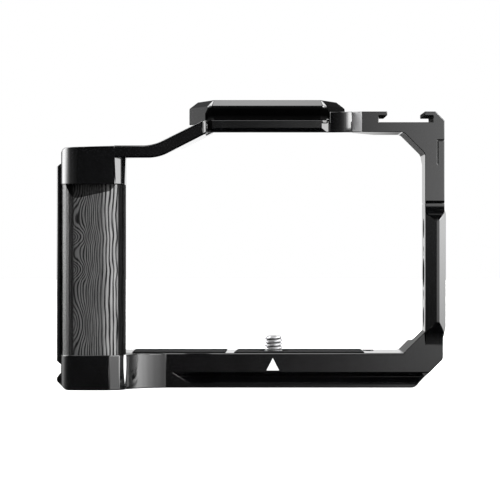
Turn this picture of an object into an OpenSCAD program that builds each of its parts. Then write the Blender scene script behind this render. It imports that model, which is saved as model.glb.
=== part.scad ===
// Camera cage with a wooden front grip, a dovetail base and side rail, a cold shoe and a clamp rail on top.
// Millimetres. X runs along the camera's width, the lens looks along -Y, Z is up from the base's underside.

/* [Cage] */
// Overall width, side rail to column
cage_w = 134.2; // [130:0.2:146]
// Overall height, underside to top of the hump
cage_h = 99.3; // [98:0.1:106]
// Overall depth, front of the grip to back of the base
cage_d = 57; // [55:0.5:64]
// How far the grip stands in front of the cage face
grip_reach = 19; // [17:0.5:22]

/* [Base plate] */
// Thickness of the base plate
base_h = 12; // [11.5:0.1:14]
// Height of the dovetail's lip
lip_h = 1.4; // [1:0.1:1.8]
// Height at which the dovetail groove ends
groove_top = 5.2; // [4.8:0.1:5.6]
// Depth of the dovetail groove
groove_depth = 2.4; // [1.8:0.1:2.8]
// Solid front length at the grip end, before the groove starts
groove_start = 40; // [38.5:0.5:44]
// Slant of the groove's run-out, along the base
groove_runout = 6.2; // [3:0.2:8]
// Leg of the cut corner under the column
corner_cut = 9.9; // [7:0.1:10.5]
// Leg of the inner web between base and column
inner_web = 7.4; // [5:0.1:9]
// Height of the lip at the grip end, below the side notch
end_lip_h = 5.1; // [4.6:0.1:5.5]
// Height of the notch between the base's end lip and the side rail
notch_h = 3; // [2:0.1:3.6]

/* [Column] */
// Thickness of the column
column_t = 6.7; // [6:0.1:8]
// Depth of the column
column_d = 19; // [17:0.5:24]
// How far the ridge stands in front of the column
ridge_h = 1.8; // [1.4:0.1:2.4]
// How far the ridge stands outside the column
ridge_side = 0.4; // [0.2:0.1:0.8]
// Height above the base at which the ridge has its full section
ridge_rise = 10.6; // [10:0.2:13]
// How far below the column's seam the ridge's upper ramp starts
ridge_drop = 5.8; // [5:0.2:8]
// Distance from the shoe block's underside down to the column's seam
column_drop = 24.6; // [22:0.2:26]
// How far the accessory holes' centre lies above the column's middle
holes_shift = 1.8; // [0:0.1:2.4]
// Distance from the centre hole to each quarter-inch hole
quarter_pitch = 15.4; // [15:0.1:15.8]
// Distance from the centre hole to each locating hole
locating_pitch = 7.62; // [7.4:0.02:8]
// Diameter of a locating hole
locating_d = 3; // [2.4:0.1:3.4]
// Thread core diameter of the quarter-inch holes
quarter_core = 5.2; // [5:0.05:5.4]
// Thread core diameter of the three-eighths-inch holes
three_eighths_core = 8; // [7.8:0.05:8.2]

/* [Cold shoe] */
// How far the shoe block's top lies below the hump's top
shoe_drop = 4; // [3.4:0.1:4.6]
// Height of the shoe block
shoe_h = 7.1; // [6.8:0.1:7.8]
// Width of the slot
shoe_w = 18.8; // [18.6:0.1:19.2]
// Gap between the lips
shoe_gap = 12.9; // [12.5:0.1:13.2]
// Height of the slot
shoe_slot_h = 2.3; // [2:0.1:2.5]
// Thickness of the lips
shoe_lip_t = 1.4; // [1.2:0.1:1.8]
// Distance from the column's side to the slot's centre
shoe_inset = 13.7; // [13.2:0.1:14.4]
// Depth of the shoe block
shoe_d = 28; // [24:0.5:32]
// Distance from the column's side to the seam with the bridge
shoe_l = 32.2; // [31:0.2:34]

/* [Hump] */
// Front length of the clamp rail, as a share of the overall width
rail_share = 0.307; // [0.29:0.001:0.32]
// How far each end of the rail flares out towards the back
rail_flare = 6.8; // [4:0.2:7.2]
// Width of the clamp rail, lip to lip
rail_w = 21; // [20.6:0.1:21.6]
// Height of the rail's top bevel
rail_bevel = 2.2; // [1.8:0.1:2.4]
// Height of the rail's lip
rail_lip = 0.9; // [0.7:0.1:1.2]
// Height of the rail's undercut
rail_cut_h = 3.9; // [3.4:0.1:4.2]
// Depth of the rail's undercut
rail_cut_d = 2.3; // [1.8:0.1:2.6]
// Distance from the hump's top to the underside of the front bar
bar_drop = 11.2; // [10.8:0.1:12]
// Thickness of the front bar
bar_t = 4; // [3.4:0.1:5]
// Thickness of the rail's roof between its undercuts
roof_t = 8; // [7.6:0.1:8.4]
// Length of the link between the rail and the seam with the shoe block
link_l = 8.7; // [8.2:0.1:9.2]
// Radius of the scallop between the rail and the shoe block
scallop_r = 13; // [12:0.1:14]

/* [Grip] */
// Width of the grip
grip_w = 21.7; // [20.5:0.1:23]
// How far the grip's blocks stand inside the side rail's face
grip_inset = 2.4; // [1.6:0.1:3]
// Height of the bottom block
foot_h = 11.9; // [11.2:0.1:13]
// How far the top block lies below the hump's top
head_drop = 16.3; // [15.4:0.1:17.2]
// Height of the top block
head_h = 13.2; // [12:0.2:15]
// Radius of the blocks' left edge
head_r = 6; // [4:0.1:6.6]
// Bevel on the right edge of the top block
head_bevel = 2.1; // [1.2:0.1:2.8]
// Bevel on the right edge of the bottom block
foot_bevel = 3.4; // [2.4:0.1:4]
// Radius of the wood's edges
wood_r = 5.6; // [4:0.1:6]
// How far the wood stands back from the blocks
wood_inset = 0.35; // [0.2:0.05:0.8]
// Height of the finger bevel at the top of the wood
finger_h = 6; // [4:0.2:9]
// Depth of the finger bevel
finger_depth = 2.2; // [1:0.1:3]
// Thickness of the spine behind the wood
spine_t = 3.6; // [3:0.1:4.6]

/* [Arm] */
// How far the arm's underside lies below the top block's top
arm_drop = 4.2; // [3.6:0.1:4.4]
// Thickness of the arm
arm_t = 4.2; // [3.8:0.1:4.4]
// Depth of the arm's beam, in front of the camera's grip
arm_beam = 9; // [7:0.5:12]
// Width of the leg that runs back from the beam to the hump
arm_leg = 9; // [7:0.5:11]
// How far the leg reaches in behind the cage face
arm_d = 13; // [10:0.5:16]
// Where the arm's upper bend lies, as a share of the distance from the grip to the front bar
arm_run = 0.35; // [0.3:0.01:0.42]

/* [Side rail] */
// Thickness of the side rail
side_t = 5.2; // [4.8:0.1:5.4]
// Thickness of the wall that carries it
wall_t = 2.5; // [2:0.1:3.2]
// How far the side rail's top lies below the top block's top
side_drop = 5.7; // [4.6:0.1:8]
// Length of the window through the rail and the wall
window_l = 34; // [26:1:38]
// Width of the window
window_w = 13; // [10:0.5:16]
// Distance from the window's centre to each rail screw
side_screw_pitch = 24; // [23:0.5:26]

/* [Camera screw] */
// Distance of the screw's axis from the cage's middle
screw_x = 7.9; // [6:0.1:10]
// Major diameter of the quarter-inch thread
thread_d = 6.35; // [6.3:0.01:6.35]
// How far the thread stands above the pads
thread_out = 5.2; // [4.4:0.1:5.6]
// Diameter of the screw's head
screw_head_d = 14; // [13.2:0.1:14.2]
// Thickness of the screw's head
screw_head_h = 2.4; // [2:0.1:2.6]
// Diameter of the well that the head moves in
well_d = 14.8; // [14.6:0.1:15.4]
// Distance from the screw to each tripod socket
socket_pitch = 20; // [19:0.5:22]
// Thickness of the web that the screw passes through
web_t = 2.2; // [1.8:0.1:2.4]
// Thickness of the nylon washer under the head
washer_t = 0.6; // [0.4:0.1:0.8]
// Thickness of the retaining ring
retainer_t = 0.6; // [0.5:0.1:0.8]
// Width of the retaining ring
retainer_w = 1.3; // [1:0.1:1.5]

/* [Pads] */
// Depth of the pad pockets
pocket_t = 0.8; // [0.6:0.1:1.2]
// How far the pads stand out of their pockets
pad_proud = 0.25; // [0.1:0.05:0.5]
// Length of the left floor pad
left_pad_l = 32; // [26:0.5:33]
// Gap between the two floor pads
pad_gap = 3.2; // [2.4:0.1:5]
// Distance from the screw's axis to the centre pad's left end
pad_reach = 13.8; // [13:0.1:15]
// Length of the centre floor pad
centre_pad_l = 45; // [40:0.5:46]
// Distance from the base's front edge to the pads
pad_margin = 3; // [2:0.1:4]
// Diameter of the hole in the centre pad, round the screw
pad_hole_d = 10.8; // [9:0.1:12]

/* [Driver] */
// Length of the driver's shank
shank_l = 22; // [18:0.5:25]
// Diameter of the shank
shank_d = 4; // [3.4:0.1:4.6]
// Length of the driver's handle
handle_l = 15; // [12:0.5:16]
// Width of the handle
handle_w = 7; // [6:0.1:8]
// Thickness of the handle
handle_t = 4.2; // [4:0.1:4.8]
// Diameter of the magnets above the driver
magnet_d = 5; // [4:0.1:6]
// Thickness of the magnets
magnet_t = 1.5; // [1:0.1:2]

/* [Fasteners] */
// Nominal diameter of the grip and rail screws
m3 = 3; // [2.5:0.1:3.5]
// Diameter of their countersunk heads
m3_head = 5.8; // [5.4:0.1:6.4]
// Outer diameter of the threaded inserts in the wood
insert_d = 4.8; // [4.6:0.1:5.4]
// Length of the inserts
insert_l = 7; // [5:0.5:8]
// Width across flats' corners of their hexagon sockets
m3_hex = 2.3; // [2:0.1:2.6]
// Clearance between a screw and its hole
fit = 0.05; // [0.02:0.01:0.08]

/* [Hidden] */
$fn = 64;
eps = 0.01;
arc_steps = 8;
anodised = "#1b1c1e";
steel = "#c9cbcd";

// Reference planes
left = -cage_w / 2;
right = cage_w / 2;
grip_front = -cage_d / 2;
face = grip_front + grip_reach;
back = cage_d / 2;
mid_y = (face + back) / 2;
column_out = right - ridge_side;
column_in = column_out - column_t;
seat = base_h + pad_proud;

// Heights, from the hump's top down
shoe_top = cage_h - shoe_drop;
shoe_under = shoe_top - shoe_h;
bar_under = cage_h - bar_drop;
column_top = shoe_under - column_drop;
ridge_low = base_h + ridge_rise;
ridge_high = column_top - ridge_drop;
holes_z = (base_h + column_top) / 2 + holes_shift;
head_top = cage_h - head_drop;
head_under = head_top - head_h;
arm_under = head_top - arm_drop;
side_top = head_top - side_drop;
column_hole_y = face + column_d / 2;

// Broken edges and small steps of the frame
broken = 0.5;
end_bevel = 2.4;
end_lip_slant = [1.2, 1.6];
column_step = 0.5;
foot_rise = [5.2, 9];
toe_rise = [3.4, 3.9, 5.4];
ridge_ends = [2.4, 0.4];
ridge_fade = [2.4, 3.6];
ridge_bevels = [0.3, 0];
ridge_inner = 3.8;
ridge_flat = 1;
web_r = 2.5;
seam_edge = [0.5, 0.8];
shoe_bevel = 3.1;
shoe_nose_r = 0.8;
shoe_strip = [3.3, 2.7];
seam_gap = 0.25;
joint_line = 0.35;
joint_depth = 1;
joint_x = column_out - 2.5;
joint_z = [shoe_under - 11.1, shoe_under - 3];
relief_slant = 10.8;

// Grip
foot_r = 4.5;
foot_side = [1.6, 1.7, 3.2];
sweep_from = 170;
sweep_to = 101;
head_side = [1.1, 5];
grip_l = left + grip_inset;
grip_r = grip_l + grip_w;
wood_back = face - spine_t;
wood_l = grip_l + wood_inset;
wood_front = grip_front + wood_inset;
finger_slant = 12;
grip_mid = (grip_l + grip_r) / 2;
grip_screw_z = [foot_h + 12, head_under - 14];
grip_screw_l = spine_t + insert_l - 0.5;
m3_head_h = (m3_head - m3) / 2;
m3_hex_depth = 1.3;

// Side rail
rail_bottom = end_lip_h + notch_h;
wall_x = left + side_t;
side_bevel = 1.1;
window_z = (base_h + side_top) / 2;
side_screw_z = [window_z - side_screw_pitch, window_z + side_screw_pitch];

// Hump
seam_x = right - shoe_l;
rail_r0 = seam_x - link_l;
rail_l = rail_share * cage_w;
rail_l0 = rail_r0 - rail_l;
lip_top = cage_h - rail_bevel;
lip_under = lip_top - rail_lip;
ledge = lip_under - rail_cut_h;
roof_under = cage_h - roof_t;
shoe_x = right - shoe_inset;
relief_x = seam_x - 2.4;
bar_l = rail_l0 - 0.3;
rail_corner = [1.5, 1];
bar_bevel = 1.3;
bar_nose = [1.6, 0.6];
bar_end = [2, 0.6];
link_x = rail_r0 - 2.6;
scallop_wall = 3.5;
scallop_turn = 48;
scallop_at = [seam_x - scallop_r * sin(scallop_turn), face - scallop_r * cos(scallop_turn)];
arm_gap = bar_l - grip_r;
arm_r = 0.5 * arm_gap;
arm_nose = 0.9;
arm_inner_r = 6;
arm_bend_step = 1.9;
arm_toe = 2.1;
arm_end_drop = 0.8;
head_x = grip_r - head_bevel - head_side[0];

// Camera screw stack, from the web down
web_z = base_h - pocket_t - web_t;
washer_z = web_z - fit - washer_t;
head_z = washer_z - fit - screw_head_h;
screw_travel = thread_out;
retainer_z = head_z - screw_travel - fit - retainer_t;
thread_r = thread_d / 2;
groove_r = well_d / 2 + retainer_w / 3;
neck_r = thread_r - 0.5;
screw_tip = 0.5;

// Pads and strap slot
left_pad_x = screw_x - pad_reach - pad_gap - left_pad_l;
centre_pad_x = left_pad_x + left_pad_l + pad_gap;
left_pad_lean = [0, 0.5];
centre_pad_lean = [1.4, -0.2];
pad_back = back - pad_margin + 1;
strap_w = 3.4;
strap_l = 14;
strap_wall = 0.7;
strap_x = centre_pad_x + centre_pad_l + strap_wall + strap_w / 2;
strap_y = back - 5 - strap_l / 2;

// Tripod sockets, and the driver pocket in the grip half of the base
socket_x = [screw_x - socket_pitch, screw_x + socket_pitch];
driver_clear = 0.4;
driver_l = shank_l + handle_l;
driver_x = socket_x[0] - three_eighths_core / 2 - 3.5 - driver_l;
driver_z = 0.5;
pocket_top = driver_z + handle_t + driver_clear;
magnet_x = [driver_x + handle_l / 2, driver_x + handle_l + shank_l / 2];
socket_depth = 9;
scoop_depth = 2.2;

// Outline helpers: a corner point becomes an arc of radius r
function unit(v) = v / norm(v);
function corner_arc(a, b, c, r) =
    r <= 0 ? [b] :
    let (u = unit(a - b), w = unit(c - b), half = acos(u * w) / 2,
         centre = b + unit(u + w) * r / sin(half), start = b + u * r / tan(half),
         from = atan2(start[1] - centre[1], start[0] - centre[0]),
         turn = (180 - 2 * half) * (cross(u, w) > 0 ? -1 : 1))
    [for (i = [0 : arc_steps]) let (at = from + turn * i / arc_steps) centre + r * [cos(at), sin(at)]];
function rounded(corners) =
    let (n = len(corners), p = [for (c = corners) [c[0], c[1]]])
    [for (i = [0 : n - 1]) each corner_arc(p[(i + n - 1) % n], p[i], p[(i + 1) % n], corners[i][2])];

// An outline in X and Z, cut along Y
module front_prism(y0, y1) {
    translate([0, y1, 0]) rotate([90, 0, 0]) linear_extrude(y1 - y0) children();
}

// An outline in Y and Z, cut along X
module side_prism(x0, x1) {
    translate([x0, 0, 0]) rotate([90, 0, 90]) linear_extrude(x1 - x0) children();
}

// An outline in X and Y, cut along Z
module plan_prism(z0, z1) {
    translate([0, 0, z0]) linear_extrude(z1 - z0) children();
}

module box(low, high) {
    translate(low) cube(high - low);
}

module hole_x(d, x0, x1, y, z) {
    translate([x0, y, z]) rotate([0, 90, 0]) cylinder(d = d, h = x1 - x0);
}

module hole_y(d, y0, y1, x, z) {
    translate([x, y1, z]) rotate([90, 0, 0]) cylinder(d = d, h = y1 - y0);
}

// Dovetail groove profile beside a lip, opening towards -X at the origin, Z up
module groove_profile() {
    polygon([[-eps, lip_h], [groove_depth, lip_h + groove_depth], [-eps, groove_top]]);
}

module base_outline() {
    foot_x = column_out - column_step;
    polygon(rounded([
        [left + end_bevel, 0, 2], [left, end_bevel, 1],
        [left, end_lip_h - end_lip_slant[1], 1], [left + end_lip_slant[0], end_lip_h, 0],
        [wall_x, end_lip_h, 0], [wall_x, base_h, 0],
        [foot_x, base_h, 0], [foot_x, corner_cut, 2], [foot_x - corner_cut, 0, 3]]));
}

// The ends of a pad lean by small steps towards the back
module pad_outline(x0, x1, lean) {
    polygon([[x0, face + pad_margin], [x1, face + pad_margin], [x1 + lean[1], pad_back],
             [x0 + lean[0], pad_back]]);
}

module left_pad_shape() {
    pad_outline(left_pad_x, left_pad_x + left_pad_l, left_pad_lean);
}

module centre_pad_pocket() {
    pad_outline(centre_pad_x, centre_pad_x + centre_pad_l, centre_pad_lean);
}

module centre_pad_shape() {
    difference() {
        centre_pad_pocket();
        translate([screw_x, mid_y]) circle(d = pad_hole_d);
    }
}

// Strap slot through the base, between the centre pad and the column
module strap_slot() {
    straight = strap_l - strap_w;
    plan_prism(-1, base_h + 1) translate([strap_x, strap_y]) {
        square([strap_w, straight], center = true);
        for (side = [-1, 1]) translate([0, side * straight / 2]) circle(d = strap_w);
    }
}

// Front groove with a slanted run-out, and back groove over the whole length
module base_grooves() {
    intersection() {
        side_prism(left, right) translate([face, 0]) groove_profile();
        front_prism(face - 1, mid_y) polygon([
            [left + groove_start, groove_top + eps], [left + groove_start + groove_runout, lip_h],
            [right, lip_h], [right, groove_top + eps]]);
    }
    side_prism(left - 1, right) translate([back, 0]) mirror([1, 0]) groove_profile();
}

// Underside: well for the camera screw with the retainer's groove, tripod sockets, driver pocket
module base_underside() {
    translate([screw_x, mid_y, 0]) {
        translate([0, 0, -1]) cylinder(d = well_d, h = web_z + 1);
        translate([0, 0, retainer_z]) cylinder(r = groove_r, h = retainer_t);
        cylinder(d = thread_d + 2 * fit, h = base_h + 1);
    }
    translate([socket_x[0], mid_y, -1]) cylinder(d = three_eighths_core, h = socket_depth + 1);
    translate([socket_x[1], mid_y, -1]) cylinder(d = quarter_core, h = socket_depth + 1);
    box([driver_x - driver_clear, mid_y - handle_w / 2 - driver_clear, -1],
        [driver_x + driver_l + driver_clear, mid_y + handle_w / 2 + driver_clear, pocket_top]);
    for (x = magnet_x) translate([x, mid_y, pocket_top - eps]) cylinder(d = magnet_d, h = magnet_t + eps);
    // Finger scoop at the handle
    translate([driver_x + handle_l / 2, mid_y, -1]) cylinder(d = 2 * handle_w, h = scoop_depth + 1);
}

module base_plate() {
    color(anodised) difference() {
        front_prism(face, back) base_outline();
        base_grooves();
        base_underside();
        strap_slot();
        plan_prism(base_h - pocket_t, base_h + 1) {
            left_pad_shape();
            centre_pad_pocket();
        }
        // Broken front edge of the floor, up to the column's web
        side_prism(left - 1, column_in - inner_web) polygon([
            [face - 1, base_h - broken - 1], [face - 1, base_h + 1], [face + broken + 1, base_h + 1]]);
    }
}

// Column: plan section with the ridge, ramps at both ends, accessory holes
module column_outline() {
    polygon([
        [column_in - inner_web, base_h], [column_out - column_step, base_h],
        [column_out - column_step, base_h + foot_rise[0]], [right, base_h + foot_rise[1]],
        [right, ridge_high + ridge_fade[0]], [column_out, ridge_high + ridge_fade[1]],
        [column_out, column_top], [column_in, column_top], [column_in, base_h + inner_web]]);
}

function ramp_r(rise) = (rise * rise + ridge_h * ridge_h) / (2 * ridge_h);

module ridge() {
    low_z = base_h + ridge_ends[0];
    high_z = column_top - ridge_ends[1];
    low_r = ramp_r(ridge_low - low_z);
    high_r = ramp_r(high_z - ridge_high);
    difference() {
        plan_prism(low_z, high_z) polygon([
            [column_in, face + 1], [column_in, face - ridge_bevels[0]],
            [column_in + ridge_inner, face - ridge_h],
            [column_in + ridge_inner + ridge_flat, face - ridge_h], [right, face - ridge_bevels[1]],
            [right, face + 1]]);
        hole_x(2 * low_r, column_in - 1, right + 1, face - low_r, low_z);
        hole_x(2 * high_r, column_in - 1, right + 1, face - high_r, high_z);
    }
}

module side_column() {
    color(anodised) difference() {
        intersection() {
            union() {
                intersection() {
                    front_prism(face, back) column_outline();
                    side_prism(column_in - inner_web, right) polygon([
                        [face, base_h], [back, base_h], [back, base_h + toe_rise[0]],
                        [face + column_d + 2, base_h + toe_rise[1]], [face + column_d, base_h + toe_rise[2]],
                        [face + column_d, column_top], [face, column_top]]);
                }
                ridge();
            }
            front_prism(face - ridge_h - 1, back) column_outline();
        }
        for (side = [-1, 1]) {
            hole_x(quarter_core, column_in - 1, right + 1, column_hole_y, holes_z + side * quarter_pitch);
            hole_x(locating_d, column_in - 1, right + 1, column_hole_y, holes_z + side * locating_pitch);
        }
        hole_x(three_eighths_core, column_in - 1, right + 1, column_hole_y, holes_z);
    }
}

// Shoe block with the slot, the corner web and the upper part of the column
module shoe_outline() {
    slot_floor = shoe_top - shoe_lip_t - shoe_slot_h;
    difference() {
        polygon(rounded([
            [seam_x, shoe_under, 0], [column_in - inner_web, shoe_under, web_r],
            [column_in, shoe_under - inner_web, web_r], [column_in, column_top, 0],
            [column_out, column_top, 0],
            [column_out, shoe_top - shoe_bevel, shoe_nose_r],
            [column_out - shoe_bevel, shoe_top, shoe_nose_r],
            [seam_x, shoe_top, 0]]));
        translate([shoe_x - shoe_w / 2, slot_floor]) square([shoe_w, shoe_slot_h]);
        translate([shoe_x - shoe_gap / 2, slot_floor]) square([shoe_gap, shoe_slot_h + shoe_lip_t + 1]);
    }
}

module shoe_frame() {
    color(anodised) difference() {
        intersection() {
            front_prism(face, face + shoe_d) shoe_outline();
            side_prism(seam_x, right) polygon([
                [face, column_top], [face + column_d, column_top], [face + column_d, joint_z[0]],
                [face + shoe_d - 1.5, joint_z[0] + 2.2], [face + shoe_d, joint_z[0] + 4],
                [face + shoe_d, shoe_top], [face, shoe_top]]);
            plan_prism(column_top, shoe_top) polygon([
                [seam_x, face + shoe_strip[1] + seam_gap], [seam_x + seam_gap, face + shoe_strip[1]],
                [seam_x + shoe_strip[0], face], [right, face],
                [right, face + shoe_d], [seam_x, face + shoe_d]]);
        }
        finder_relief();
        // Fine joint line of the corner
        box([joint_x, face - 1, joint_z[0]], [joint_x + joint_line, face + joint_depth, joint_z[1]]);
        box([joint_x, face - 1, joint_z[1]], [right, face + joint_depth, joint_z[1] + joint_line]);
        // Bevel above the seam with the column
        side_prism(column_in - 1, right) polygon([
            [face - eps, column_top - eps], [face - eps, column_top + seam_edge[1]],
            [face + seam_edge[0], column_top - eps]]);
    }
}

// Clamp rail, front bar and the link to the shoe block
function rail_plan() = [
    [rail_l0 + rail_corner[0], face], [rail_r0 - rail_corner[0], face],
    [rail_r0, face + rail_corner[1]], [rail_r0 + rail_flare, face + rail_w],
    [rail_l0 - rail_flare, face + rail_w], [rail_l0, face + rail_corner[1]]];

// Runs an outline of inward distance and Z along a plan edge from a to b, with the body on the edge's left
module along_edge(a, b, past) {
    edge = b - a;
    translate([a[0], a[1], 0]) rotate([0, 0, atan2(edge[1], edge[0])])
        side_prism(-past, norm(edge) + past) children();
}

module top_corner(size) {
    polygon([[-size, cage_h - 2 * size], [-size, cage_h + size], [2 * size, cage_h + size]]);
}

module rail_cut_profile() {
    polygon([[-1, ledge], [rail_cut_d - 0.5, ledge], [rail_cut_d, ledge + 0.5],
             [rail_cut_d, lip_under - rail_cut_d], [0, lip_under], [-1, lip_under]]);
}

module clamp_rail() {
    outline = rail_plan();
    difference() {
        plan_prism(roof_under, cage_h) polygon(outline);
        for (i = [0 : 5]) along_edge(outline[i], outline[(i + 1) % 6], 3 * rail_bevel) top_corner(rail_bevel);
        // The undercut runs round both front corners, and stops between the flared ends at the back
        for (i = [0, 1, 5]) along_edge(outline[i], outline[(i + 1) % 6], rail_cut_d) rail_cut_profile();
        side_prism(rail_l0, rail_r0) translate([face + rail_w, 0]) mirror([1, 0]) rail_cut_profile();
    }
}

// Front bar under the rail, bevelled below and at both ends
module front_bar() {
    intersection() {
        plan_prism(bar_under, ledge) polygon([
            [bar_l, face + bar_nose[1]], [bar_l + bar_nose[0], face], [rail_r0 - bar_end[0], face],
            [rail_r0 + bar_end[1], face + bar_end[0]], [rail_r0 + bar_end[1], face + bar_t + 1],
            [bar_l, face + bar_t + 1]]);
        side_prism(bar_l, right) polygon([
            [face, ledge], [face, bar_under + bar_bevel], [face + bar_bevel, bar_under],
            [face + bar_t, bar_under], [face + bar_t, ledge]]);
    }
}

// Room under the roof for the finder, running out slantwise under the shoe block
module finder_relief() {
    plan_prism(bar_under - 1, roof_under) difference() {
        polygon([
            [bar_l - 1, face + bar_t], [relief_x, face + bar_t], [relief_x + relief_slant, face + shoe_d],
            [relief_x + relief_slant, back + 1], [bar_l - 1, back + 1]]);
        // The scallop's wall goes on under the roof
        intersection() {
            translate(scallop_at) circle(r = scallop_r + scallop_wall);
            translate([link_x - 1, face]) square([scallop_r + 2, rail_w]);
        }
    }
}

module bridge_link() {
    difference() {
        box([link_x, face, shoe_under], [seam_x, face + rail_w, shoe_top]);
        translate([scallop_at[0], scallop_at[1], bar_under - 1]) cylinder(r = scallop_r, h = cage_h);
        finder_relief();
    }
}

module top_bridge() {
    color(anodised) union() {
        clamp_rail();
        front_bar();
        bridge_link();
    }
}

// Arm from the grip's top block up to the front bar
module arm_outline() {
    upper_bend = grip_r + arm_run * arm_gap;
    arm_top = arm_under + arm_t;
    polygon(rounded([
        [head_x, arm_under, 0], [upper_bend + arm_bend_step, arm_under, arm_r],
        [bar_l + arm_toe, bar_under, 0], [bar_l, bar_under, 0],
        [bar_l, ledge - arm_end_drop, 0], [bar_l - arm_nose, ledge - arm_end_drop, 0],
        [upper_bend, arm_top, arm_r], [head_x, arm_top, 0]]));
}

// Straight beam flush with the grip's front, and a leg back to the bar
module arm_plan() {
    leg_l = bar_l - arm_leg;
    beam_back = grip_front + arm_beam;
    arm_back = face + arm_d;
    polygon(rounded([
        [head_x, grip_front, 0], [bar_l - arm_nose, grip_front, 0], [bar_l, grip_front + arm_nose, 0],
        [bar_l, face + bar_nose[1], 0], [bar_l + arm_toe, face + bar_nose[1], 0],
        [bar_l + arm_toe, arm_back, 0],
        [leg_l, arm_back, 1], [leg_l, beam_back, arm_inner_r], [grip_r, beam_back, arm_inner_r],
        [grip_r, face, 0], [head_x, face, 0]]));
}

module grip_arm() {
    color(anodised) difference() {
        intersection() {
            front_prism(grip_front, face + arm_d) arm_outline();
            plan_prism(arm_under, cage_h) arm_plan();
        }
        // Seat of the clamp rail
        plan_prism(roof_under, cage_h) polygon(rail_plan());
    }
}

// Grip frame: foot with its buttress, spine, wall and head
module foot_plan() {
    facet = grip_r - foot_side[0];
    sweep_r = (grip_reach - foot_side[1] - foot_side[2]) / (sin(sweep_to) - sin(sweep_from));
    centre = [grip_r - sweep_r * cos(sweep_from), face - sweep_r * sin(sweep_to)];
    polygon(concat(
        rounded([[grip_l, face, 0], [grip_l, grip_front, foot_r], [facet - foot_bevel, grip_front, 0],
                 [facet, grip_front + foot_side[1], 0]]),
        [for (a = [sweep_from : -3 : sweep_to]) centre + sweep_r * [cos(a), sin(a)]]));
}

module head_plan() {
    polygon(rounded([
        [grip_l, face, 0], [grip_l, grip_front, head_r], [head_x, grip_front, 0],
        [head_x + head_bevel, grip_front + head_bevel, 0], [grip_r, grip_front + head_side[1], 0],
        [grip_r, face, 0]]));
}

module countersunk_y(x, z, length) {
    hole_y(m3 + 2 * fit, face - length, face + 1, x, z);
    translate([x, face + eps, z]) rotate([90, 0, 0])
        cylinder(d1 = m3_head + 2 * fit, d2 = m3 + 2 * fit, h = m3_head_h + eps);
}

module grip_frame() {
    color(anodised) difference() {
        union() {
            intersection() {
                plan_prism(0, foot_h) foot_plan();
                front_prism(grip_front, face) polygon(rounded([
                    [grip_l, 0, 3], [right, 0, 0], [right, foot_h, 0], [grip_l, foot_h, 0]]));
            }
            intersection() {
                plan_prism(head_under, head_top) head_plan();
                front_prism(grip_front, face) polygon(rounded([
                    [grip_l, head_under, 0], [grip_r, head_under, 0], [grip_r, head_top, 0],
                    [grip_l, head_top - 0.7, 2.2]]));
                side_prism(grip_l, grip_r) polygon(rounded([
                    [grip_front, head_under, 0], [face, head_under, 0], [face, head_top, 0],
                    [grip_front, head_top, 1]]));
                // The arm takes the place of the upper right corner
                front_prism(grip_front, face) polygon([
                    [grip_l, head_under], [grip_r, head_under], [grip_r, arm_under], [head_x, arm_under],
                    [head_x, head_top], [grip_l, head_top]]);
            }
            box([grip_l + 0.8, wood_back, foot_h - 1], [grip_r - 0.8, face, head_under + 1]);
            intersection() {
                box([wall_x, wood_back, base_h], [wall_x + wall_t, back, side_top]);
                side_prism(wall_x, wall_x + wall_t) polygon(rounded([
                    [wood_back, base_h, 0], [back - groove_depth, base_h, 0],
                    [back - groove_depth, side_top, 5],
                    [wood_back, side_top, 0]]));
            }
        }
        for (z = grip_screw_z) countersunk_y(grip_mid, z, spine_t + 1);
        rail_window();
        for (z = side_screw_z) hole_x(m3 + 2 * fit, wall_x - 1, wall_x + wall_t + 1, mid_y, z);
    }
}

module wood_grip() {
    tilt = atan(finger_depth / finger_h);
    color("#2b2b2b") difference() {
        plan_prism(foot_h, head_under) polygon(rounded([
            [wood_l, wood_back, 0], [wood_l, wood_front, wood_r], [grip_r, wood_front, wood_r],
            [grip_r, wood_back, 0]]));
        // Finger bevel under the top block, rising a little towards the lens side
        translate([wood_l - 1, wood_front, head_under - finger_h]) rotate([0, -finger_slant, 0]) rotate([-tilt, 0, 0])
            translate([-5, -10, 0]) cube([grip_w + 15, 10, 2 * finger_h]);
        for (z = grip_screw_z) hole_y(insert_d, wood_back - insert_l, wood_back + 1, grip_mid, z);
    }
}

// Brass insert in the wood, and the countersunk screw that reaches it through the spine
module grip_insert(z) {
    color("#b08d45") difference() {
        hole_y(insert_d, wood_back - insert_l, wood_back, grip_mid, z);
        hole_y(m3 + 2 * fit, wood_back - insert_l - 1, wood_back + 1, grip_mid, z);
    }
}

module grip_insert_low() {
    grip_insert(grip_screw_z[0]);
}

module grip_insert_high() {
    grip_insert(grip_screw_z[1]);
}

// Countersunk hexagon screw pointing up from the origin
module countersunk_screw(length) {
    color(steel) difference() {
        union() {
            cylinder(d1 = m3_head, d2 = m3, h = m3_head_h);
            translate([0, 0, m3_head_h / 2]) cylinder(d = m3, h = length - m3_head_h / 2);
        }
        translate([0, 0, -eps]) cylinder(d = m3_hex, h = m3_hex_depth, $fn = 6);
    }
}

module grip_screw(z) {
    translate([grip_mid, face, z]) rotate([90, 0, 0]) countersunk_screw(grip_screw_l);
}

module grip_screw_low() {
    grip_screw(grip_screw_z[0]);
}

module grip_screw_high() {
    grip_screw(grip_screw_z[1]);
}

// Side rail: a vertical dovetail on the grip's end, with a window and two screws
module rail_window() {
    half = window_l / 2 - window_w / 2;
    translate([left - 1, mid_y, window_z]) rotate([90, 0, 90]) linear_extrude(side_t + wall_t + 2) {
        square([window_w, 2 * half], center = true);
        for (side = [-1, 1]) translate([0, side * half]) circle(d = window_w);
    }
}

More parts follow.
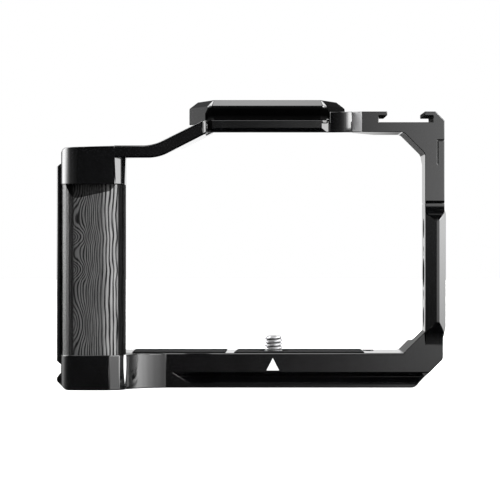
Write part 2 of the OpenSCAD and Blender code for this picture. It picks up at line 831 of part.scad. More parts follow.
module side_rail() {
    neck = left + lip_h + groove_depth;
    color(anodised) difference() {
        intersection() {
            plan_prism(rail_bottom, side_top) polygon([
                [left + broken, face], [left + lip_h, face], [neck, face + groove_depth],
                [wall_x, face + groove_depth], [wall_x, back - groove_depth], [neck, back - groove_depth],
                [left + lip_h, back], [left + broken, back], [left, back - broken], [left, face + broken]]);
            front_prism(face, back) polygon([
                [left, rail_bottom + side_bevel], [left + lip_h, rail_bottom], [wall_x, rail_bottom],
                [wall_x, side_top], [left + lip_h, side_top], [left, side_top - side_bevel]]);
        }
        rail_window();
        for (z = side_screw_z) {
            hole_x(m3 + 2 * fit, left - 1, wall_x + 1, mid_y, z);
            translate([left - eps, mid_y, z]) rotate([0, 90, 0])
                cylinder(d1 = m3_head + 2 * fit, d2 = m3 + 2 * fit, h = m3_head_h + eps);
        }
    }
}

module rail_screw(z) {
    translate([left, mid_y, z]) rotate([0, 90, 0]) countersunk_screw(side_t + wall_t - 0.4);
}

module rail_screw_low() {
    rail_screw(side_screw_z[0]);
}

module rail_screw_high() {
    rail_screw(side_screw_z[1]);
}

// Rubber pads
module floor_pad_left() {
    color("#202020") plan_prism(base_h - pocket_t, seat) left_pad_shape();
}

module floor_pad_centre() {
    color("#202020") plan_prism(base_h - pocket_t, seat) centre_pad_shape();
}

module roof_pad() {
    thick = 1;
    low = [rail_l0 + pad_margin, face + bar_t + 1];
    high = [rail_r0 - pad_margin, face + rail_w - rail_cut_d - 2];
    color("#202020") plan_prism(roof_under - thick, roof_under) polygon(rounded([
        [low[0], low[1], thick], [high[0], low[1], thick],
        [high[0], high[1], thick], [low[0], high[1], thick]]));
}

// Camera screw with its washer and retaining ring
module camera_screw() {
    thread_top = seat + thread_out;
    slot_w = 1.6;
    slot_depth = 1.1;
    color(steel) translate([screw_x, mid_y, 0]) difference() {
        union() {
            translate([0, 0, head_z]) cylinder(d = screw_head_d, h = screw_head_h);
            translate([0, 0, head_z]) cylinder(r = neck_r, h = seat - head_z);
            translate([0, 0, seat]) cylinder(r = thread_r, h = thread_out - screw_tip);
            translate([0, 0, thread_top - screw_tip])
                cylinder(r1 = thread_r, r2 = thread_r - screw_tip, h = screw_tip);
        }
        translate([-screw_head_d, -slot_w / 2, head_z - 1]) cube([2 * screw_head_d, slot_w, slot_depth + 1]);
        translate([0, 0, head_z - 1]) cylinder(d = 2 * m3_hex, h = screw_head_h + 1, $fn = 6);
    }
}

module screw_washer() {
    color("#e6e4de") translate([screw_x, mid_y, washer_z]) difference() {
        cylinder(r = well_d / 2 - fit, h = washer_t);
        translate([0, 0, -1]) cylinder(r = thread_r + fit, h = washer_t + 2);
    }
}

module screw_retainer() {
    color(steel) translate([screw_x, mid_y, retainer_z]) rotate([0, 0, 20])
        rotate_extrude(angle = 320) translate([groove_r - retainer_w, 0]) square([retainer_w, retainer_t]);
}

// Flat-blade driver, kept by two magnets in its pocket
module screwdriver() {
    blade_l = 5;
    blade_t = 1.2;
    axis_z = driver_z + handle_t / 2;
    blade_x = driver_x + driver_l - blade_l;
    color(steel) difference() {
        union() {
            plan_prism(driver_z, driver_z + handle_t) polygon(rounded([
                [driver_x, mid_y - handle_w / 2, 2], [driver_x + handle_l - 2, mid_y - handle_w / 2, 0],
                [driver_x + handle_l, mid_y - shank_d / 2, 0], [driver_x + handle_l, mid_y + shank_d / 2, 0],
                [driver_x + handle_l - 2, mid_y + handle_w / 2, 0], [driver_x, mid_y + handle_w / 2, 2]]));
            hole_x(shank_d, driver_x + handle_l - 1, blade_x, mid_y, axis_z);
            intersection() {
                hole_x(shank_d, blade_x - 1, driver_x + driver_l, mid_y, axis_z);
                box([blade_x - 1, mid_y - shank_d, axis_z - blade_t / 2],
                    [driver_x + driver_l, mid_y + shank_d, axis_z + blade_t / 2]);
            }
        }
        translate([driver_x + 4, mid_y, 0]) cylinder(d = 2.6, h = base_h);
    }
}

module magnet(x) {
    color(steel) translate([x, mid_y, pocket_top]) cylinder(d = magnet_d, h = magnet_t);
}

module magnet_left() {
    magnet(magnet_x[0]);
}

module magnet_right() {
    magnet(magnet_x[1]);
}

base_plate();
side_column();
shoe_frame();
top_bridge();
grip_arm();
grip_frame();
wood_grip();
grip_screw_low();
grip_screw_high();
grip_insert_low();
grip_insert_high();
side_rail();
rail_screw_low();
rail_screw_high();
floor_pad_left();
floor_pad_centre();
roof_pad();
camera_screw();
screw_washer();
screw_retainer();
screwdriver();
magnet_left();
magnet_right();
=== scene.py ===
# %% [markdown]
# # A camera cage with a wooden grip
# A camera cage is a milled aluminium ring that a small camera is screwed into. This lesson takes the
# measured solids of the cage as they are and gives them the finishes and the fine forms that solids
# don't carry: black anodising with crisp broken edges, stained wood, rubber, and screw threads.
# Rods, tests for faces and edges, and finishes work in millimetres. Blender's own places are in metres.

# %% Load the measured solids
import math
import bmesh
import bpy
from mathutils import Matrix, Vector
from mathutils.bvhtree import BVHTree


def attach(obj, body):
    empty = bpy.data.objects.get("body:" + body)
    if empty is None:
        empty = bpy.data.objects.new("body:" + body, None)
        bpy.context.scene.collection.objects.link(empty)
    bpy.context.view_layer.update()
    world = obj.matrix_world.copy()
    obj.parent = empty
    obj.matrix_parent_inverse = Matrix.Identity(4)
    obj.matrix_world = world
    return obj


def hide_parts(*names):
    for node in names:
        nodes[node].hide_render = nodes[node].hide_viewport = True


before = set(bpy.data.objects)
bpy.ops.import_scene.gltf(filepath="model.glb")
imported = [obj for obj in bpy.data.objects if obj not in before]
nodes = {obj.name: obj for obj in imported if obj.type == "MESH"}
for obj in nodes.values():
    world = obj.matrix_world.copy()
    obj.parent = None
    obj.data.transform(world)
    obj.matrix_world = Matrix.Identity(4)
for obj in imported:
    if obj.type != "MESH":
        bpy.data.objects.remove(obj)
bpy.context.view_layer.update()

# %% [markdown]
# ## Camera
# Products like this are shot from far away with a long lens, so that upright edges stay upright. A short
# lens close by would show more of the inner walls. The long lens is right here: the inner walls show as
# thin strips only. The lens is shifted a little, which frames the cage and keeps the horizon level.

# %% Camera
CAGE_FACE_Y = -0.0095
EYE_DISTANCE = 1.03
EYE_X, EYE_Z = -0.0004, 0.04993
camera_data = bpy.data.cameras.new("long_lens")
camera_data.sensor_width = 36.0
camera_data.lens = 215.06
camera_data.shift_y = -0.014
camera_data.clip_end = 20.0
camera = bpy.data.objects.new("camera", camera_data)
camera.location = (EYE_X, CAGE_FACE_Y - EYE_DISTANCE, EYE_Z)
camera.rotation_euler = (math.radians(90), 0, 0)
bpy.context.scene.collection.objects.link(camera)
bpy.context.scene.camera = camera
bpy.context.scene.view_settings.view_transform = "Standard"
print("camera", EYE_DISTANCE, "m from the cage's face, lens", round(camera_data.lens), "mm")

# %% [markdown]
# ## A short way to wire nodes
# Every finish below is a small network of nodes. Wiring them one by one takes many lines, so this helper
# makes a node, sets its inputs, and links an input when it is given another node's output.


# %% Node helpers
def add(tree, kind, inputs=None, **settings):
    made = tree.nodes.new(kind)
    for key, value in settings.items():
        setattr(made, key, value)
    for key, value in (inputs or {}).items():
        socket = made.inputs[key]
        if isinstance(value, bpy.types.NodeSocket):
            tree.links.new(value, socket)
        else:
            socket.default_value = value
    return made


def math_node(tree, operation, first, second=0.0, clamp=False):
    return add(tree, "ShaderNodeMath", {0: first, 1: second}, operation=operation, use_clamp=clamp).outputs[0]


def smooth_range(tree, value, low, high, out_low=0.0, out_high=1.0):
    return add(tree, "ShaderNodeMapRange", {
        "Value": value, "From Min": low, "From Max": high, "To Min": out_low, "To Max": out_high},
        interpolation_type="SMOOTHSTEP").outputs[0]


print("node helpers:", ", ".join(helper.__name__ for helper in (add, math_node, smooth_range)))

# %% [markdown]
# ## The studio
# Gloss black has hardly any colour of its own. What is seen of it is what it mirrors, so the room matters
# more than the lamps. The room here is a light tent drawn on the world. Area lamps could do the same, but
# they have hard rims, and a rim shows as a line on every round corner. A place in the tent is given by two
# angles: the azimuth, with the front at 0 and the right at 90 degrees, and the elevation, up at 90.

# %% Directions in the tent
world = bpy.data.worlds.new("light_tent")
bpy.context.scene.world = world
world.use_nodes = True
sky = world.node_tree
sky.nodes.clear()
DEGREES = 180 / math.pi
direction = add(sky, "ShaderNodeTexCoord").outputs["Generated"]
parts = add(sky, "ShaderNodeSeparateXYZ", {0: direction})
front = math_node(sky, "MULTIPLY", parts.outputs["Y"], -1.0)
azimuth = math_node(sky, "MULTIPLY", math_node(sky, "ARCTAN2", parts.outputs["X"], front), DEGREES)
elevation = math_node(sky, "MULTIPLY", math_node(sky, "ARCSINE", parts.outputs["Z"]), DEGREES)
print("world:", world.name)

# %% [markdown]
# ## A light from two curves
# Each light in the tent is a curve of brightness over the azimuth times one over the elevation. A curve is
# a list of stops, each an angle and a level, from one end of its reach to the other, and eases from stop to
# stop. A colour ramp holds levels up to one only, so the curve is scaled down in it and up again behind it.


# %% Tent lights
def curve_over(tree, value, stops):
    low, high = stops[0][0], stops[-1][0]
    peak = max(level for _, level in stops)
    spread = add(tree, "ShaderNodeMapRange", {"Value": value, "From Min": low, "From Max": high}).outputs[0]
    ramp = add(tree, "ShaderNodeValToRGB", {"Fac": spread})
    ramp.color_ramp.interpolation = "EASE"
    keys = ramp.color_ramp.elements
    for place, level in stops:
        where = (place - low) / (high - low)
        key = keys[0] if place == low else keys[-1] if place == high else keys.new(where)
        key.color = (level / peak, level / peak, level / peak, 1)
    return math_node(tree, "MULTIPLY", ramp.outputs[0], peak)


tent = {}


def tent_light(name, around, upright):
    across, up = curve_over(sky, azimuth, around), curve_over(sky, elevation, upright)
    tent[name] = math_node(sky, "MULTIPLY", across, up)


print("curve helpers ready")

# %% [markdown]
# ## Lights at the sides
# Two tall soft panels stand left and right of the cage. They draw the long highlights on the grip's round
# edges and on the sweep at its foot. Their levels fall off toward the front, so a round edge fades into
# black. A narrow bright card at the left lights only the scallop beside the shoe, and a low fill in front
# of the left panel stops short of the height at which the arm would mirror it.

# %% Side lights
tent_light("left panel", [
    (-180, 0), (-139, 0), (-132, 5), (-116, 7.8), (-105, 8.6), (-94, 6.4), (-85, 3.5), (-76, 1.8), (-67, 1.0),
    (-58, 0.35), (-50, 0.14), (-42, 0.05), (-22, 0), (0, 0)],
    [(-90, 0), (-7, 0), (-2.3, 0.15), (-1, 0.3), (0.8, 1), (38, 1), (46, 0), (90, 0)])
tent_light("left card", [
    (-110, 0), (-98, 6), (-92, 8), (-80, 8), (-74, 3), (-68, 0), (-50, 0)],
    [(0, 0), (1.9, 0), (2.15, 1), (3.0, 1), (3.4, 0), (6, 0)])
tent_light("left fill", [
    (-60, 0), (-50, 0.12), (-42, 0.2), (-20, 0.12), (0, 0)],
    [(-10, 0), (-7, 0), (-2.3, 0.2), (-1, 0.35), (0.8, 1), (1.9, 1), (2.15, 0), (6, 0)])
tent_light("right panel", [
    (0, 0), (12, 0), (25, 1.8), (46, 3.0), (60, 4.4), (76, 6.6), (87, 7.8), (96, 7.4), (103, 5.0), (108, 2.4),
    (114, 0.8), (122, 0.5), (127, 0), (180, 0)],
    [(-90, 0), (-7, 0), (-2.3, 0.43), (-1, 0.75), (0.8, 1), (30, 1), (42, 0), (90, 0)])
print("side lights:", ", ".join(tent))

# %% [markdown]
# ## Lights in front
# The cage's front mirrors the room around the camera. It is dark at the left and paler at the right, so the
# long foot goes from black to dark grey along its length. A thin glow high up in front is for narrow bevels
# that lean back by about twenty degrees: without it they would be lost in the black.

# %% Front lights
tent_light("front", [
    (-8, 0), (-3, 0.03), (-1.5, 0.06), (0, 0.11), (1.6, 0.36), (3, 1.15), (4.2, 1.65), (6, 2.0), (12, 1.7),
    (22, 0.2), (30, 0)],
    [(-30, 0), (-6, 0.1), (-2.2, 0.5), (-0.6, 0.9), (0.8, 1), (6, 1), (9, 0.3), (12, 0), (30, 0)])
tent_light("bevel glow", [
    (-30, 0), (-6, 0.1), (0, 0.4), (6, 0.45), (30, 0)],
    [(0, 0), (41, 0), (42.5, 1), (45, 1), (47, 0), (90, 0)])
print("lights so far:", len(tent))

# %% [markdown]
# ## Lights behind
# Faces that run away from the eye, such as the floor's top and the inner walls, are seen at a glancing
# angle. They mirror the wall behind the cage: tops its part above the horizon, undersides the part below.
# The rims stand high behind both shoulders. The back room is a dim glow low down and high up, outside what
# the front can mirror, so that the cage isn't a black cut-out when it is seen from behind or from above.

# %% Back lights
tent_light("high back", [
    (-180, 1), (-176, 0.75), (-165, 0.25), (-154, 0.36), (-143, 0.34), (-137, 0), (152, 0), (165, 0.06),
    (172, 0.7), (180, 1)],
    [(-90, 0), (-0.3, 0), (0.6, 1), (6, 1), (28, 0), (90, 0)])
tent_light("low back", [
    (-180, 1.3), (-178, 1.3), (-176.5, 0.65), (-165, 0.05), (-140, 0), (143, 0.05), (149, 1.8), (156, 1.8),
    (163, 0.1), (177, 0.24), (178.2, 0.3), (178.7, 1.3), (180, 1.3)],
    [(-90, 0), (-8, 0), (-4, 1), (-0.3, 1), (0.6, 0), (90, 0)])
tent_light("back room", [
    (-180, 0.6), (-140, 0.45), (-105, 0), (150, 0), (170, 0.55), (180, 0.6)],
    [(-90, 0.6), (-22, 1), (-10, 0), (46, 0), (58, 1), (90, 0.6)])
tent_light("rims", [
    (-180, 0), (-150, 0), (-138, 7), (-112, 7), (-100, 0), (100, 0), (112, 7), (138, 7), (150, 0), (180, 0)],
    [(0, 0), (40, 0), (46, 1), (60, 1), (68, 0), (90, 0)])
print("lights so far:", len(tent))

# %% [markdown]
# ## The tent on the world
# A soft light straight overhead is the same all round, so it needs one curve only. The lights are added up.
# The tent is dark in many places, but the background should be evenly white. So the eye itself sees plain
# white instead of the tent, while mirrors and lit surfaces get the tent. Is Camera Ray tells them apart.

# %% Tent on the world
total = curve_over(sky, elevation, [(0, 0), (66, 0), (74, 1.1), (84, 3.2), (90, 3.4)])
for light in tent.values():
    total = math_node(sky, "ADD", total, light)
room = add(sky, "ShaderNodeBackground", {"Color": (1, 1, 1, 1), "Strength": total})
white = add(sky, "ShaderNodeBackground", {"Color": (1, 1, 1, 1), "Strength": 1.0})
to_eye = add(sky, "ShaderNodeLightPath").outputs["Is Camera Ray"]
seen_room = add(sky, "ShaderNodeMixShader", {0: to_eye, 1: room.outputs[0], 2: white.outputs[0]})
add(sky, "ShaderNodeOutputWorld", {"Surface": seen_room.outputs[0]})
print("light tent:", len(tent), "lights and one overhead")

# %% [markdown]
# ## Key lamp
# Wood and rubber are not mirrors and need real light on their fronts. The lamp stands well to the right and
# above, so it shapes the round edges of the grip: the right one bright, the left one dark. A sun or a small
# bulb would give hard shadows. This lamp is a square of seven tenths of a metre, so its shadows are soft.

# %% Key lamp
LAMP_PLACE, LAMP_TARGET = Vector((1.05, -0.75, 0.95)), Vector((0, 0, 0.05))
lamp_data = bpy.data.lights.new("key_lamp", "AREA")
lamp_data.shape = "SQUARE"
lamp_data.size = 0.7
lamp_data.energy = 24.0
lamp = bpy.data.objects.new("key_lamp", lamp_data)
lamp.location = LAMP_PLACE
lamp.rotation_euler = (LAMP_TARGET - LAMP_PLACE).to_track_quat("-Z", "Y").to_euler()
lamp.visible_camera = False
bpy.context.scene.collection.objects.link(lamp)
print("key lamp", round((LAMP_TARGET - LAMP_PLACE).length, 2), "m away")

# %% [markdown]
# ## Floor
# The cage stands on a pale paper sheet that keeps its shadow. A sheet of white light would have no shadow,
# and plain paper would look grey, so the eye gets paper with some light added. Mirrored rays pass through
# the sheet, so the tent's lower part can still show in the cage's undersides.

# %% Floor
FLOOR_REACH = 3.0
FLOOR_GAP = 0.00002
PAPER_LIFT = 0.55
floor_mesh = bpy.data.meshes.new("floor")
floor_mesh.from_pydata([(-FLOOR_REACH, -FLOOR_REACH, 0), (FLOOR_REACH, -FLOOR_REACH, 0),
                        (FLOOR_REACH, FLOOR_REACH, 0), (-FLOOR_REACH, FLOOR_REACH, 0)], [], [(0, 1, 2, 3)])
floor = bpy.data.objects.new("floor", floor_mesh)
floor.location.z = -FLOOR_GAP
bpy.context.scene.collection.objects.link(floor)
floor_finish = bpy.data.materials.new("pale_floor")
floor_finish.use_nodes = True
sheet = floor_finish.node_tree
sheet.nodes.clear()
rays = add(sheet, "ShaderNodeLightPath")
glow = math_node(sheet, "MULTIPLY", rays.outputs["Is Camera Ray"], PAPER_LIFT)
paper = add(sheet, "ShaderNodeBsdfDiffuse", {"Color": (0.82, 0.82, 0.82, 1)})
lift = add(sheet, "ShaderNodeEmission", {"Color": (1, 1, 1, 1), "Strength": glow})
lit_paper = add(sheet, "ShaderNodeAddShader", {0: paper.outputs[0], 1: lift.outputs[0]})
clear = add(sheet, "ShaderNodeBsdfTransparent")
seen_sheet = add(sheet, "ShaderNodeMixShader", {
    0: rays.outputs["Is Glossy Ray"], 1: lit_paper.outputs[0], 2: clear.outputs[0]})
add(sheet, "ShaderNodeOutputMaterial", {"Surface": seen_sheet.outputs[0]})
floor.data.materials.append(floor_finish)
print("floor", 2 * FLOOR_REACH, "m wide")

# %% [markdown]
# ## Parts of a finish
# Every finish needs a place to draw at, some noise, a colour between two others, and a fine relief. The
# place is the piece's own, in millimetres, so a scale of one means one blotch to about a millimetre, and
# the noise stays on the piece when it moves. A place from the camera or the window would slide about.


# %% Finish helpers
def millimetres(tree, stretch=(1.0, 1.0, 1.0)):
    place = add(tree, "ShaderNodeTexCoord").outputs["Object"]
    scale = tuple(1000 * part for part in stretch)
    return add(tree, "ShaderNodeMapping", {"Vector": place, "Scale": scale}).outputs[0]


def noise(tree, place, scale, detail, roughness=0.5):
    return add(tree, "ShaderNodeTexNoise", {
        "Vector": place, "Scale": scale, "Detail": detail, "Roughness": roughness}).outputs[0]


def blend_colours(tree, factor, dark, pale):
    return add(tree, "ShaderNodeMix", {"Factor": factor, 6: (*dark, 1), 7: (*pale, 1)},
               data_type="RGBA").outputs[2]


def relief(tree, height, strength, distance):
    return add(tree, "ShaderNodeBump", {
        "Height": height, "Strength": strength, "Distance": distance}).outputs[0]


def new_finish(name):
    material = bpy.data.materials.new(name)
    material.use_nodes = True
    material.node_tree.nodes.clear()
    return material, material.node_tree


def surface(tree, inputs):
    shader = add(tree, "ShaderNodeBsdfPrincipled", inputs)
    add(tree, "ShaderNodeOutputMaterial", {"Surface": shader.outputs[0]})


print("finish helpers ready")

# %% [markdown]
# ## Black anodising
# Anodising grows a thin clear oxide on the milled aluminium and dyes it black. The oxide bends light more
# than glass does, with an index of about 1.77, so it mirrors about eight hundredths of what falls on it
# straight, and much more at a glancing angle. A metal shader with a dark colour would mirror the same at
# every angle and look like lead. Here it is a dark dielectric, with the fine grain of the milled surface.
# The same shader, darker, rougher and with hardly any gloss, is a painted shade for walls and edges that
# should look dead black.

# %% Anodised finishes
OXIDE_INDEX = 1.77


def anodised(name, dark, pale, rough, gloss=0.5):
    material, tree = new_finish(name)
    place = millimetres(tree)
    cloud = noise(tree, place, 0.09, 3.0)
    grain = noise(tree, place, 7.0, 2.0)
    tone = math_node(tree, "ADD", math_node(tree, "MULTIPLY", cloud, 0.6),
                     math_node(tree, "MULTIPLY", grain, 0.4))
    surface(tree, {
        "Base Color": blend_colours(tree, smooth_range(tree, tone, 0.3, 0.7), dark, pale),
        "Roughness": smooth_range(tree, tone, 0.25, 0.75, rough - 0.015, rough + 0.025),
        "IOR": OXIDE_INDEX, "Specular IOR Level": gloss, "Normal": relief(tree, grain, 0.1, 0.000002)})
    return material


black = anodised("black_anodising", (0.0009, 0.00095, 0.0011), (0.0022, 0.0023, 0.0026), 0.075)
# Painted shade: a darker, dull black for slots, bores and edges that should look dead black.
painted_shade_black = anodised("matt_painted_shade_black", (0.0004, 0.0004, 0.0004), (0.0012, 0.0012, 0.0012), 0.6, 0.02)
satin_black = anodised("satin_corner_black", (0.001, 0.001, 0.001), (0.003, 0.003, 0.003), 0.35, 0.12)
# Painted reflection: a grey metal colour that stands in for the light the joint bevel beside the shoe
# mirrors.
painted_reflection_grey = anodised("painted_reflection_grey", (0.36, 0.36, 0.365), (0.5, 0.5, 0.505), 0.5)
print("finishes:", ", ".join(finish.name for finish in (black, painted_shade_black, satin_black, painted_reflection_grey)))

# %% [markdown]
# ## The painted highlight at the foot
# Where the sweep starts beside the grip's foot, a tall narrow lens of pale metal colour shows in the black: a
# painted highlight for the light that the curved wall mirrors there. It could be a piece of its own laid on
# the wall, but then it would have an edge that casts a shade. So it is drawn in the finish: the black's
# network is copied, and a mask that is widest in the middle and runs out at both tips lets the pale metal
# through.


# %% Painted highlight sliver in the black
def painted_highlight_sliver(name, middle_x, middle_z, half_width, half_height):
    material = black.copy()
    material.name = name
    tree = material.node_tree
    axes = add(tree, "ShaderNodeSeparateXYZ", {0: millimetres(tree)})
    aside = math_node(tree, "ABSOLUTE", math_node(tree, "SUBTRACT", axes.outputs["X"], middle_x))
    up = math_node(tree, "DIVIDE", math_node(tree, "SUBTRACT", axes.outputs["Z"], middle_z), half_height)
    fullness = math_node(tree, "SUBTRACT", 1.0, math_node(tree, "MULTIPLY", up, up))
    width_here = math_node(tree, "MULTIPLY", fullness, half_width)
    mask = smooth_range(tree, math_node(tree, "SUBTRACT", width_here, aside), 0.0, 0.12)
    highlight_noise = noise(tree, millimetres(tree, (1.0, 1.0, 0.2)), 5.0, 3.0)
    highlight_metal = add(tree, "ShaderNodeBsdfPrincipled", {
        "Base Color": blend_colours(tree, highlight_noise, (0.54, 0.54, 0.545), (0.66, 0.66, 0.665)),
        "Roughness": smooth_range(tree, highlight_noise, 0.2, 0.8, 0.44, 0.56),
        "Normal": relief(tree, highlight_noise, 0.2, 0.00001)})
    outlet = tree.nodes["Material Output"].inputs["Surface"]
    dyed = outlet.links[0].from_socket
    both = add(tree, "ShaderNodeMixShader", {0: mask, 1: dyed, 2: highlight_metal.outputs[0]})
    tree.links.new(both.outputs[0], outlet)
    return material


# Painted highlight: a pale lens of metal colour on the wall at the grip's foot.
foot_black_painted_highlight = painted_highlight_sliver("foot_black_painted_highlight", middle_x=-42.95, middle_z=9.0, half_width=0.45, half_height=7.5)
print("finish", foot_black_painted_highlight.name)

# %% [markdown]
# ## Threads
# A thread is a groove that climbs one pitch each turn. Stacked rings would look alike from the front, but
# on the left and right edges the crests must be half a pitch apart. So the rod is a grid of points whose
# radius follows the angle and the height together. A flare widens the rod where a hole has a countersink,
# and a tip cones its end.

# %% Threaded rod
SPOKES, STEPS_PER_PITCH = 48, 10
FLARE_DEPTH = 0.35


def rod_radius(along, share_of_turn, length, outer, depth, pitch, tip, flares):
    phase = (along / pitch - share_of_turn) % 1.0
    groove = min(1.0, max(0.0, 1.15 - abs(phase - 0.5) / 0.38))
    radius = outer - depth * groove
    if tip:
        radius = min(radius, outer - tip + (length - along))
    return max([radius] + [outer + FLARE_DEPTH - abs(along - place) for place in flares])


def threaded_rod(name, start, end, outer, depth, pitch, tip=0.0, flares=()):
    start, end = Vector(start) / 1000, Vector(end) / 1000
    axis = (end - start).normalized()
    length = (end - start).length * 1000
    side = axis.orthogonal().normalized()
    other = axis.cross(side)
    rings = round(length / pitch * STEPS_PER_PITCH)
    work = bmesh.new()
    rows = []
    for ring in range(rings + 1):
        along = length * ring / rings
        rows.append([])
        for spoke in range(SPOKES):
            radius = rod_radius(along, spoke / SPOKES, length, outer, depth, pitch, tip, flares)
            turn = 2 * math.pi * spoke / SPOKES
            out = (math.cos(turn) * side + math.sin(turn) * other) * radius / 1000
            rows[-1].append(work.verts.new(start + axis * along / 1000 + out))
    for low, high in zip(rows, rows[1:]):
        for spoke in range(SPOKES):
            beside = (spoke + 1) % SPOKES
            work.faces.new((low[spoke], low[beside], high[beside], high[spoke]))
    work.faces.new(rows[0][::-1])
    work.faces.new(rows[-1])
    mesh = bpy.data.meshes.new(name)
    work.to_mesh(mesh)
    work.free()
    made = bpy.data.objects.new(name, mesh)
    bpy.context.scene.collection.objects.link(made)
    return made


print("threaded rod with", SPOKES, "points to a turn")

# %% [markdown]
# ## Thread cutters
# The column has a three-eighths-inch hole between two quarter-inch ones, and the foot has one socket of
# each size under the floor. A rod as thick as the thread's crests cuts the spiral into each plain hole.

# %% Thread cutters
QUARTER = {"outer": 3.175, "depth": 0.69, "pitch": 1.27}
THREE_EIGHTHS = {"outer": 4.7625, "depth": 0.86, "pitch": 1.5875}
HOLES_Z = 39.6
QUARTER_Z = (HOLES_Z - 15.4, HOLES_Z + 15.4)
COLUMN_FROM_X, COLUMN_TO_X = 59.4, 67.4
COLUMN_FLARES = (0.6, 7.3)
AXIS_Y = 9.5
WIDE_SOCKET_X, NARROW_SOCKET_X = -12.1, 27.9
SOCKET_FROM_Z, SOCKET_TO_Z = -0.6, 8.7
SOCKET_FLARES = (0.6,)
thread_cutters = []
for z, size in ((QUARTER_Z[0], QUARTER), (HOLES_Z, THREE_EIGHTHS), (QUARTER_Z[1], QUARTER)):
    thread_cutters.append(threaded_rod("column_tap", (COLUMN_FROM_X, 0, z), (COLUMN_TO_X, 0, z),
                                       flares=COLUMN_FLARES, **size))
for x, size in ((WIDE_SOCKET_X, THREE_EIGHTHS), (NARROW_SOCKET_X, QUARTER)):
    thread_cutters.append(threaded_rod("socket_tap", (x, AXIS_Y, SOCKET_FROM_Z), (x, AXIS_Y, SOCKET_TO_Z),
                                       flares=SOCKET_FLARES, **size))
print("thread cutters:", len(thread_cutters))

# %% [markdown]
# ## One piece of metal from several solids
# The ring is one piece of metal, but the solids divide it into lengths. Lengths that are one piece are
# fused, or false seams would show. Joining meshes only puts them side by side, so a true union is made,
# after a weld that closes each solid's own seams. The result is settled, which means that the modifier's
# outcome becomes the mesh.


# %% Fuse and cut
def settle(made):
    seen = made.evaluated_get(bpy.context.evaluated_depsgraph_get())
    mesh = bpy.data.meshes.new_from_object(seen)
    made.modifiers.clear()
    made.data = mesh


def combine(made, partner, operation):
    join = made.modifiers.new("combine", "BOOLEAN")
    join.operation = operation
    join.solver = "EXACT"
    join.object = partner
    settle(made)
    bpy.data.objects.remove(partner)


def welded_copy(name, node_name):
    made = bpy.data.objects.new(name, nodes[node_name].data.copy())
    bpy.context.scene.collection.objects.link(made)
    weld = made.modifiers.new("weld", "WELD")
    weld.merge_threshold = 1e-6
    return made


def fused(name, members):
    made = welded_copy(name, members[0])
    for other in members[1:]:
        combine(made, welded_copy(other + "_copy", other), "UNION")
    return made


print("fusing and cutting ready")

# %% [markdown]
# ## Room for a broken edge
# A milled edge is never perfectly sharp: a light chamfer or a tumble in stones breaks it, and that thin
# band catches the light all along the part. The solids have their own large bevels, and the fine ones are
# added here. A bevel on a triangle mesh needs clean faces first, so flat triangles are merged. Then each
# sharp edge gets the width it should have, or less where a narrow face or a short side leaves no room:
# a bevel that is clamped as a whole would shrink everywhere to suit the smallest face.

# %% Clean faces and edge widths
SHARP = math.radians(16.0)
NEARLY_FLAT = math.radians(0.6)
SAME_PLACE = 2e-6
SHORTEST = 2e-5
SHARE_OF_ROOM = 0.4


def clean_faces(mesh):
    work = bmesh.new()
    work.from_mesh(mesh)
    bmesh.ops.remove_doubles(work, verts=work.verts, dist=SAME_PLACE)
    bmesh.ops.dissolve_degenerate(work, edges=work.edges, dist=SAME_PLACE)
    bmesh.ops.dissolve_limit(work, angle_limit=NEARLY_FLAT, verts=work.verts, edges=work.edges)
    work.to_mesh(mesh)
    work.free()
    if "custom_normal" in mesh.attributes:
        mesh.attributes.remove(mesh.attributes["custom_normal"])


def room_for_bevel(edge):
    if edge.calc_length() < SHORTEST:
        return 0.0
    along = (edge.verts[1].co - edge.verts[0].co).normalized()
    room = min(face.calc_area() / edge.calc_length() for face in edge.link_faces)
    for loop in edge.link_loops:
        for side in (loop.link_loop_prev.edge, loop.link_loop_next.edge):
            across = side.verts[1].co - side.verts[0].co
            if abs(across.normalized().dot(along)) < 0.9:
                room = min(room, across.length)
    return SHARE_OF_ROOM * room


def weigh_edges(mesh, width, width_rules):
    widest = max([width] + [rule[1] for rule in width_rules])
    work = bmesh.new()
    work.from_mesh(mesh)
    weights = work.edges.layers.float.new("bevel_weight_edge")
    for edge in work.edges:
        if len(edge.link_faces) == 2 and edge.calc_face_angle(0) > SHARP:
            middle = 1000 * (edge.verts[0].co + edge.verts[1].co) / 2
            chosen = [rule_width for applies, rule_width in width_rules if applies(middle)]
            wanted = min(chosen[0] if chosen else width, room_for_bevel(edge))
            edge[weights] = wanted / widest if wanted > SHORTEST else 0.0
    work.to_mesh(mesh)
    work.free()
    return widest


print("edges count as sharp from", round(math.degrees(SHARP)), "degrees")

# %% [markdown]
# ## Broken edges
# The bevel follows the widths set above. At a few crowded corners a bevel throws a point far off, as a
# spike. So each point is held against the shape before the bevel: one that lies too far off goes back to
# the nearest place on it, and none may leave the piece's own box. Normals are weighted by face area at the
# end, which keeps flat faces flat right up to a round edge.

# %% Break the edges
BEVEL_SEGMENTS = 2
FAR_OFF = 0.6


def pull_back(mesh, before, reach, low, high):
    for vertex in mesh.vertices:
        place, _, _, distance = before.find_nearest(vertex.co)
        if distance > reach:
            vertex.co = place
        vertex.co = [min(max(vertex.co[axis], low[axis]), high[axis]) for axis in range(3)]


